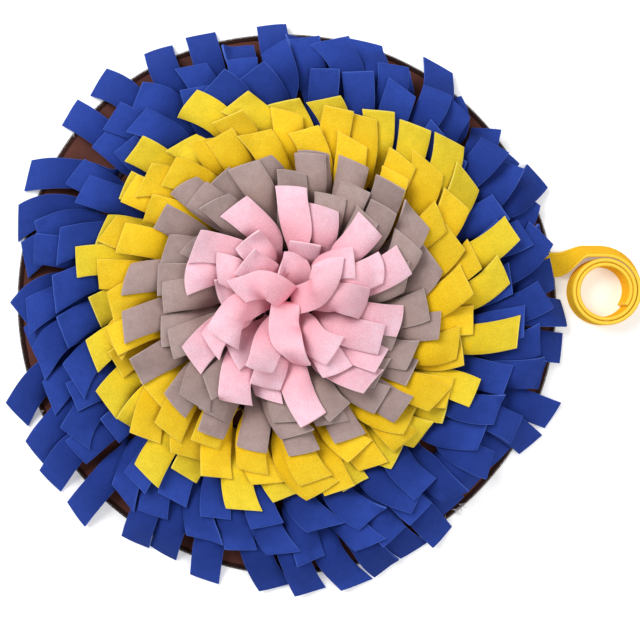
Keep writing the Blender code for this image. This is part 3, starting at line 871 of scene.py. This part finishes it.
def thickened(obj, thickness, rounding):
    """The felt's thickness about its middle surface, with its cut edges slightly rounded."""
    wall = obj.modifiers.new("thickness", "SOLIDIFY")
    wall.thickness = thickness
    wall.offset = 0
    bevel = obj.modifiers.new("cut_edges", "BEVEL")
    bevel.width = rounding
    bevel.segments = 2
    bevel.limit_method = "ANGLE"
    bevel.angle_limit = math.radians(CUT_CORNER)
    bevel.harden_normals = False
    return obj


def strip_rows(materials):
    """Every row's fine mesh, from the rim inwards."""
    coarse, fine = Pile(), Pile()
    pieces = []
    for row in ROWS:
        draw = random.Random(row.name)
        strips = [Strip(row, slot, draw) for slot in range(len(row.tips))]
        ways = random.Random(row.name + " ways")
        for strip in strips[::2] + strips[1::2]:
            strip.lay(coarse)
        for strip in strips[::2] + strips[1::2]:
            strip.settle(fine, SOFTNESS[row.colour], ways)
        bm = bmesh.new()
        bm.loops.layers.uv.new("UVMap")
        tone = bm.verts.layers.float.new("tone")
        for strip in strips:
            lines, places = strip.surface.shape[:2]
            made = bmesh.ops.create_grid(
                bm, x_segments=places - 1, y_segments=lines - 1, size=1, calc_uvs=True
            )
            shade = ways.uniform(*STRIP_TONES)
            for vert in made["verts"]:
                i = round((vert.co.y + 1) / 2 * (lines - 1))
                j = round((1 - vert.co.x) / 2 * (places - 1))
                vert.co = strip.surface[i, j]
                vert[tone] = shade
        name = row.colour + ("_rim_fleece" if row.name == "yellow_row_1" else "_fleece")
        piece = thickened(finished(row.name + "_felt", bm, materials[name]), STRIP_THICKNESS, EDGE_ROUNDING)
        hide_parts(row.name)
        pieces.append(piece)
    return pieces


def sewn_bands(materials):
    """Under each row, the folded roots of its strips, sewn down as one narrow ring, coloured near-black:
    painted shade of the roots deep between the strips.
    """
    bm = bmesh.new()
    for row in ROWS:
        corners = ((-0.5, 0), (0.5, 0), (0.5, 1), (-0.5, 1))
        profile = [
            bm.verts.new(
                FLOWER_CENTRE
                + Vector((row.root_radius + side * BAND_WIDTH, 0, BAND_FOOT - GAP / 2 + up * BAND_HEIGHT))
            )
            for side, up in corners
        ]
        edges = [bm.edges.new((profile[i - 1], profile[i])) for i in range(4)]
        bmesh.ops.spin(
            bm, geom=profile + edges, cent=FLOWER_CENTRE, axis=(0, 0, 1), angle=2 * math.pi,
            steps=BAND_STEPS, use_merge=True,
        )  # fmt: skip
    bmesh.ops.recalc_face_normals(bm, faces=bm.faces[:])
    piece = finished("sewn_roots", bm, materials["root_thread"], smooth_angle=BAND_SHARP)
    return piece


def base_cloth(materials):
    """The round base with a softly turned rim."""
    bm = bmesh.new()
    bmesh.ops.create_circle(bm, cap_ends=True, segments=BASE_SEGMENTS, radius=BASE_RADIUS - BASE_INSET)
    top = bmesh.ops.extrude_face_region(bm, geom=bm.faces[:])["geom"]
    moved = [item for item in top if isinstance(item, bmesh.types.BMVert)]
    bmesh.ops.translate(bm, verts=moved, vec=(0, 0, BASE_THICKNESS))
    bmesh.ops.recalc_face_normals(bm, faces=bm.faces[:])
    rims = [edge for edge in bm.edges if edge.calc_face_angle(0) > math.radians(RIM_CORNER)]
    bmesh.ops.bevel(
        bm, geom=rims, offset=BASE_ROUNDING, segments=3, profile=0.5, affect="EDGES", material=-1
    )
    top = [face for face in bm.faces if face.normal.z > 0.99 and len(face.verts) > 8]
    bmesh.ops.inset_region(bm, faces=top, thickness=BASE_HEM, use_even_offset=True)
    for vert in bm.verts:
        bearing = math.atan2(vert.co.y, vert.co.x)
        vert.co.xy *= rim_radius(bearing) / BASE_RADIUS
    piece = finished("brown_base", bm, materials["brown_cloth"], smooth_angle=BASE_SHARP)
    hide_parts("base_cloth")
    return piece


def thread(bm, points, aside, radius):
    """A thread of four sides along some points. Aside is a direction that it never follows."""
    face = None
    for i, point in enumerate(points):
        ahead = (points[min(i + 1, len(points) - 1)] - points[max(i - 1, 0)]).normalized()
        over = aside.cross(ahead).normalized()
        level = ahead.cross(over)
        ring = [point + (level * across + over * up) * radius for across, up in THREAD_SIDES]
        if face is None:
            corners = [bm.verts.new(place) for place in ring]
            face = bm.faces.new(corners)
        else:
            face, corners = extruded(bm, face, corners, ring)


def close_threads(bm):
    bmesh.ops.holes_fill(bm, edges=bm.edges[:], sides=len(THREAD_SIDES))
    bmesh.ops.recalc_face_normals(bm, faces=bm.faces[:])


def overlocked_edge(materials):
    """Thread wrapped closely over the base's rim, stitch by stitch."""
    bm = bmesh.new()
    draw = random.Random("overlock")
    for stitch in range(OVERLOCK_STITCHES):
        bearing = stitch * 2 * math.pi / OVERLOCK_STITCHES
        reach = draw.uniform(-OVERLOCK_REACH, OVERLOCK_REACH)
        slant = draw.uniform(*OVERLOCK_SLANT)
        points = []
        for step, (out, up) in enumerate(OVERLOCK_PATH):
            share = step / (len(OVERLOCK_PATH) - 1)
            turn = bearing + slant * MM * (share - 0.5) / BASE_RADIUS
            far = rim_radius(turn) - OVERLOCK_WIDTH + (out + reach * (1 - share)) * MM
            points.append(Vector((math.cos(turn) * far, math.sin(turn) * far, BASE_THICKNESS + up * MM)))
        thread(bm, points, Vector((-math.sin(bearing), math.cos(bearing), 0)), OVERLOCK_THREAD)
    close_threads(bm)
    piece = finished("overlock", bm, materials["dark_thread"])
    return piece


def frayed_ends(materials):
    """Pale ends of thread that stick out of the rim where the overlocking has come loose."""
    bm = bmesh.new()
    draw = random.Random("frayed")
    up = Vector((0, 0, 1))
    for bearing, ends in FRAYED_AT:
        for _ in range(ends):
            start = math.radians(bearing + draw.uniform(-FRAYED_SPREAD, FRAYED_SPREAD))
            outward = Vector((math.cos(start), math.sin(start), 0))
            heading = start + math.radians(draw.uniform(-FRAYED_TURN, FRAYED_TURN))
            ahead = Vector((math.cos(heading), math.sin(heading), 0))
            place = outward * (rim_radius(start) - draw.uniform(*FRAYED_IN) * MM)
            place += up * (BASE_THICKNESS + FRAYED_FOOT)
            length = draw.uniform(*FRAYED_LENGTH) * MM
            bend = Vector((-ahead.y, ahead.x, 0)) * draw.uniform(-FRAYED_BEND, FRAYED_BEND) * MM
            rise = draw.uniform(*FRAYED_RISE) * MM
            points = [
                place + ahead * length * u + bend * u * u + up * rise * math.sin(math.pi * u)
                for u in FRAYED_POINTS
            ]
            thread(bm, points, up, FRAYED_THREAD)
    close_threads(bm)
    piece = finished("frayed_ends", bm, materials["pale_thread"])
    return piece


def extruded(bm, face, corners, points):
    """Extrudes a face to new points, one for each of its corners. Returns the new face and its corners."""
    end = bmesh.ops.extrude_discrete_faces(bm, faces=[face])["faces"][0]
    ends = [min(end.verts, key=lambda vert: (vert.co - corner.co).length) for corner in corners]
    for vert, point in zip(ends, points, strict=True):
        vert.co = point
    return end, ends


def strap_line():
    """The strap's foot, width direction, thickness direction and share turned up, from its sewn end on."""
    inward = Vector((0, -1, 0))
    up = Vector((0, 0, 1))
    coil_foot_y = COIL_CENTRE.y + COIL_RADIUS + STRAP_WIDTH * math.cos(math.radians(LEAN_AT_COIL))
    for x in np.arange(STRAP_START_X, STRAP_END_X + 1e-6, STRAP_STEP):
        turn = float(smooth(x, *STRAP_TURN_X))
        foot = Vector((x, STRAP_EDGE_Y + (coil_foot_y - STRAP_EDGE_Y) * turn, 0))
        foot += up * BAND_FOOT * (1 - float(smooth(x, *STRAP_FLOOR_X)))
        turned = math.radians(LEAN_AT_COIL * turn)
        width = inward * math.cos(turned) + up * math.sin(turned)
        yield foot, width, up * math.cos(turned) - inward * math.sin(turned), turn
    for angle in np.arange(0, COIL_TURNS * 360 + 1e-6, COIL_STEP):
        turned = math.radians(LEAN_AT_COIL + (90 - LEAN_AT_COIL) * float(smooth(angle, 0, UPRIGHT_AFTER)))
        outward = Vector((math.sin(math.radians(angle)), math.cos(math.radians(angle)), 0))
        radius = COIL_RADIUS - COIL_PITCH * angle / 360 + STRAP_WIDTH * math.cos(turned)
        width = -outward * math.cos(turned) + up * math.sin(turned)
        yield COIL_CENTRE + outward * radius, width, up * math.cos(turned) + outward * math.sin(turned), 1.0


def strap_bulge(across):
    """Half the doubled strap's thickness across it, as a share: round edges and a dip at each seam."""
    from_edge = min(across, STRAP_WIDTH - across)
    rounded = math.sqrt(1 - (1 - min(from_edge / STRAP_ROUNDING, 1)) ** 2)
    return rounded * (1 - SEAM_DIP * math.exp(-(((from_edge - SEAM_IN) / SEAM_WIDTH) ** 2)))


def rolling_strap(materials):
    """The doubled strap, folded at both edges, sewn beside them and softly puffed between the seams."""
    side = [place * MM for place in STRAP_PLACES]
    across = [*side, *(STRAP_WIDTH - place for place in reversed(side[:-1]))]
    upper = [(place, strap_bulge(place)) for place in across]
    profile = [*upper, *((place, -bulge) for place, bulge in reversed(upper[1:-1]))]
    bm = bmesh.new()
    uv = bm.loops.layers.uv.new("UVMap")
    tone = bm.verts.layers.float.new("tone")
    line = list(strap_line())
    face = None
    for i, (foot, width, thick, turn) in enumerate(line):
        half = STRAP_THICKNESS / 2 + STRAP_PUFF * turn
        points = [
            foot + width * place + thick * (STRAP_THICKNESS / 2 + half * bulge) for place, bulge in profile
        ]
        if face is None:
            corners = [bm.verts.new(point) for point in points]
            face = bm.faces.new(corners)
        else:
            face, corners = extruded(bm, face, corners, points)
        for vert, (place, _) in zip(corners, profile, strict=True):
            vert[tone] = 1.0
            for loop in vert.link_loops:
                loop[uv].uv = (np.interp(place / MM, *STRAP_MAP), i / (len(line) - 1))
    bmesh.ops.holes_fill(bm, edges=bm.edges[:], sides=len(profile))
    bmesh.ops.recalc_face_normals(bm, faces=bm.faces[:])
    piece = finished("strap_fleece", bm, materials["strap_fleece"])
    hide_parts("strap")
    return piece


def strap_seams(materials):
    """A row of small stitches beside each edge of the strap, on both of its faces."""
    bm = bmesh.new()
    line = list(strap_line())
    for before, after in zip(line[1:-2], line[2:-1], strict=True):
        for place in (SEAM_IN, STRAP_WIDTH - SEAM_IN):
            for face in (1, -1):
                ends = []
                for foot, width, thick, turn in (before, after):
                    half = (STRAP_THICKNESS / 2 + STRAP_PUFF * turn) * strap_bulge(place)
                    ends.append(foot + width * place + thick * (STRAP_THICKNESS / 2 + face * half))
                start, end = (ends[0].lerp(ends[1], share) for share in STITCH_ENDS)
                raised = before[2] * face * SEAM_THREAD
                thread(bm, [start, start.lerp(end, 0.5) + raised, end], before[1], SEAM_THREAD)
    close_threads(bm)
    piece = finished("strap_seams", bm, materials["strap_thread"])
    return piece


# Stage


def studio():
    """A pale floor, a large soft light on each side and an even fill, seen from straight above."""
    bm = bmesh.new()
    bmesh.ops.create_grid(bm, x_segments=1, y_segments=1, size=FLOOR_HALF_SIDE)
    floor_material, _, shader = new_material("pale_floor")
    shader.inputs["Base Color"].default_value = (0.93, 0.93, 0.93, 1)
    shader.inputs["Emission Color"].default_value = (1, 1, 1, 1)
    shader.inputs["Emission Strength"].default_value = FLOOR_GLOW
    shader.inputs["Roughness"].default_value = 0.9
    shader.inputs["Specular IOR Level"].default_value = 0.1
    mesh = bpy.data.meshes.new("floor")
    bm.to_mesh(mesh)
    bm.free()
    mesh.materials.append(floor_material)
    floor = bpy.data.objects.new("floor", mesh)
    bpy.context.scene.collection.objects.link(floor)
    floor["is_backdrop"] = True

    world = bpy.data.worlds.new("studio")
    world.use_nodes = True
    world.node_tree.nodes["Background"].inputs["Color"].default_value = (1, 1, 1, 1)
    world.node_tree.nodes["Background"].inputs["Strength"].default_value = ROOM_LIGHT
    bpy.context.scene.world = world
    for name, place, power, size in LIGHTS:
        light = bpy.data.lights.new(name, "AREA")
        light.energy = power
        light.size = size
        obj = bpy.data.objects.new(name, light)
        obj.location = place
        obj.rotation_euler = (-Vector(place)).to_track_quat("-Z", "Y").to_euler()
        bpy.context.scene.collection.objects.link(obj)

    camera = bpy.data.cameras.new("camera")
    camera.lens = LENS
    camera.sensor_width = SENSOR
    obj = bpy.data.objects.new("camera", camera)
    obj.location = CAMERA_PLACE
    bpy.context.scene.collection.objects.link(obj)
    bpy.context.scene.camera = obj
    bpy.context.scene.view_settings.view_transform = "Standard"


def main():
    groups = {"fleece_nap": fleece_nap(), "cut_edge": cut_edge()}
    materials = {name: fleece_material(name, groups) for name in FLEECES}
    materials["brown_cloth"] = woven_material()
    for name, colour in THREADS.items():
        materials[name] = thread_material(name, colour)
    studio()
    base = base_cloth(materials)
    on_base = [overlocked_edge(materials), frayed_ends(materials), sewn_bands(materials)]
    on_base += strip_rows(materials)
    strap = rolling_strap(materials)
    strap_seams(materials)


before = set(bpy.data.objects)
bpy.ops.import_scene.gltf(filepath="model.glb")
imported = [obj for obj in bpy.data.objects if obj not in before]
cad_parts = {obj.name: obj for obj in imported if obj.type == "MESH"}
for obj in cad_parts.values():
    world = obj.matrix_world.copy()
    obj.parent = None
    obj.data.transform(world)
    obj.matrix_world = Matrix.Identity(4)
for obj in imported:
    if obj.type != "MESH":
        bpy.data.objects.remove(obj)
cad_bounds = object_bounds()
main()
boxes = {"cad": cad_bounds, "visual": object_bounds()}
{name: [list(corner) for corner in box] for name, box in boxes.items()}
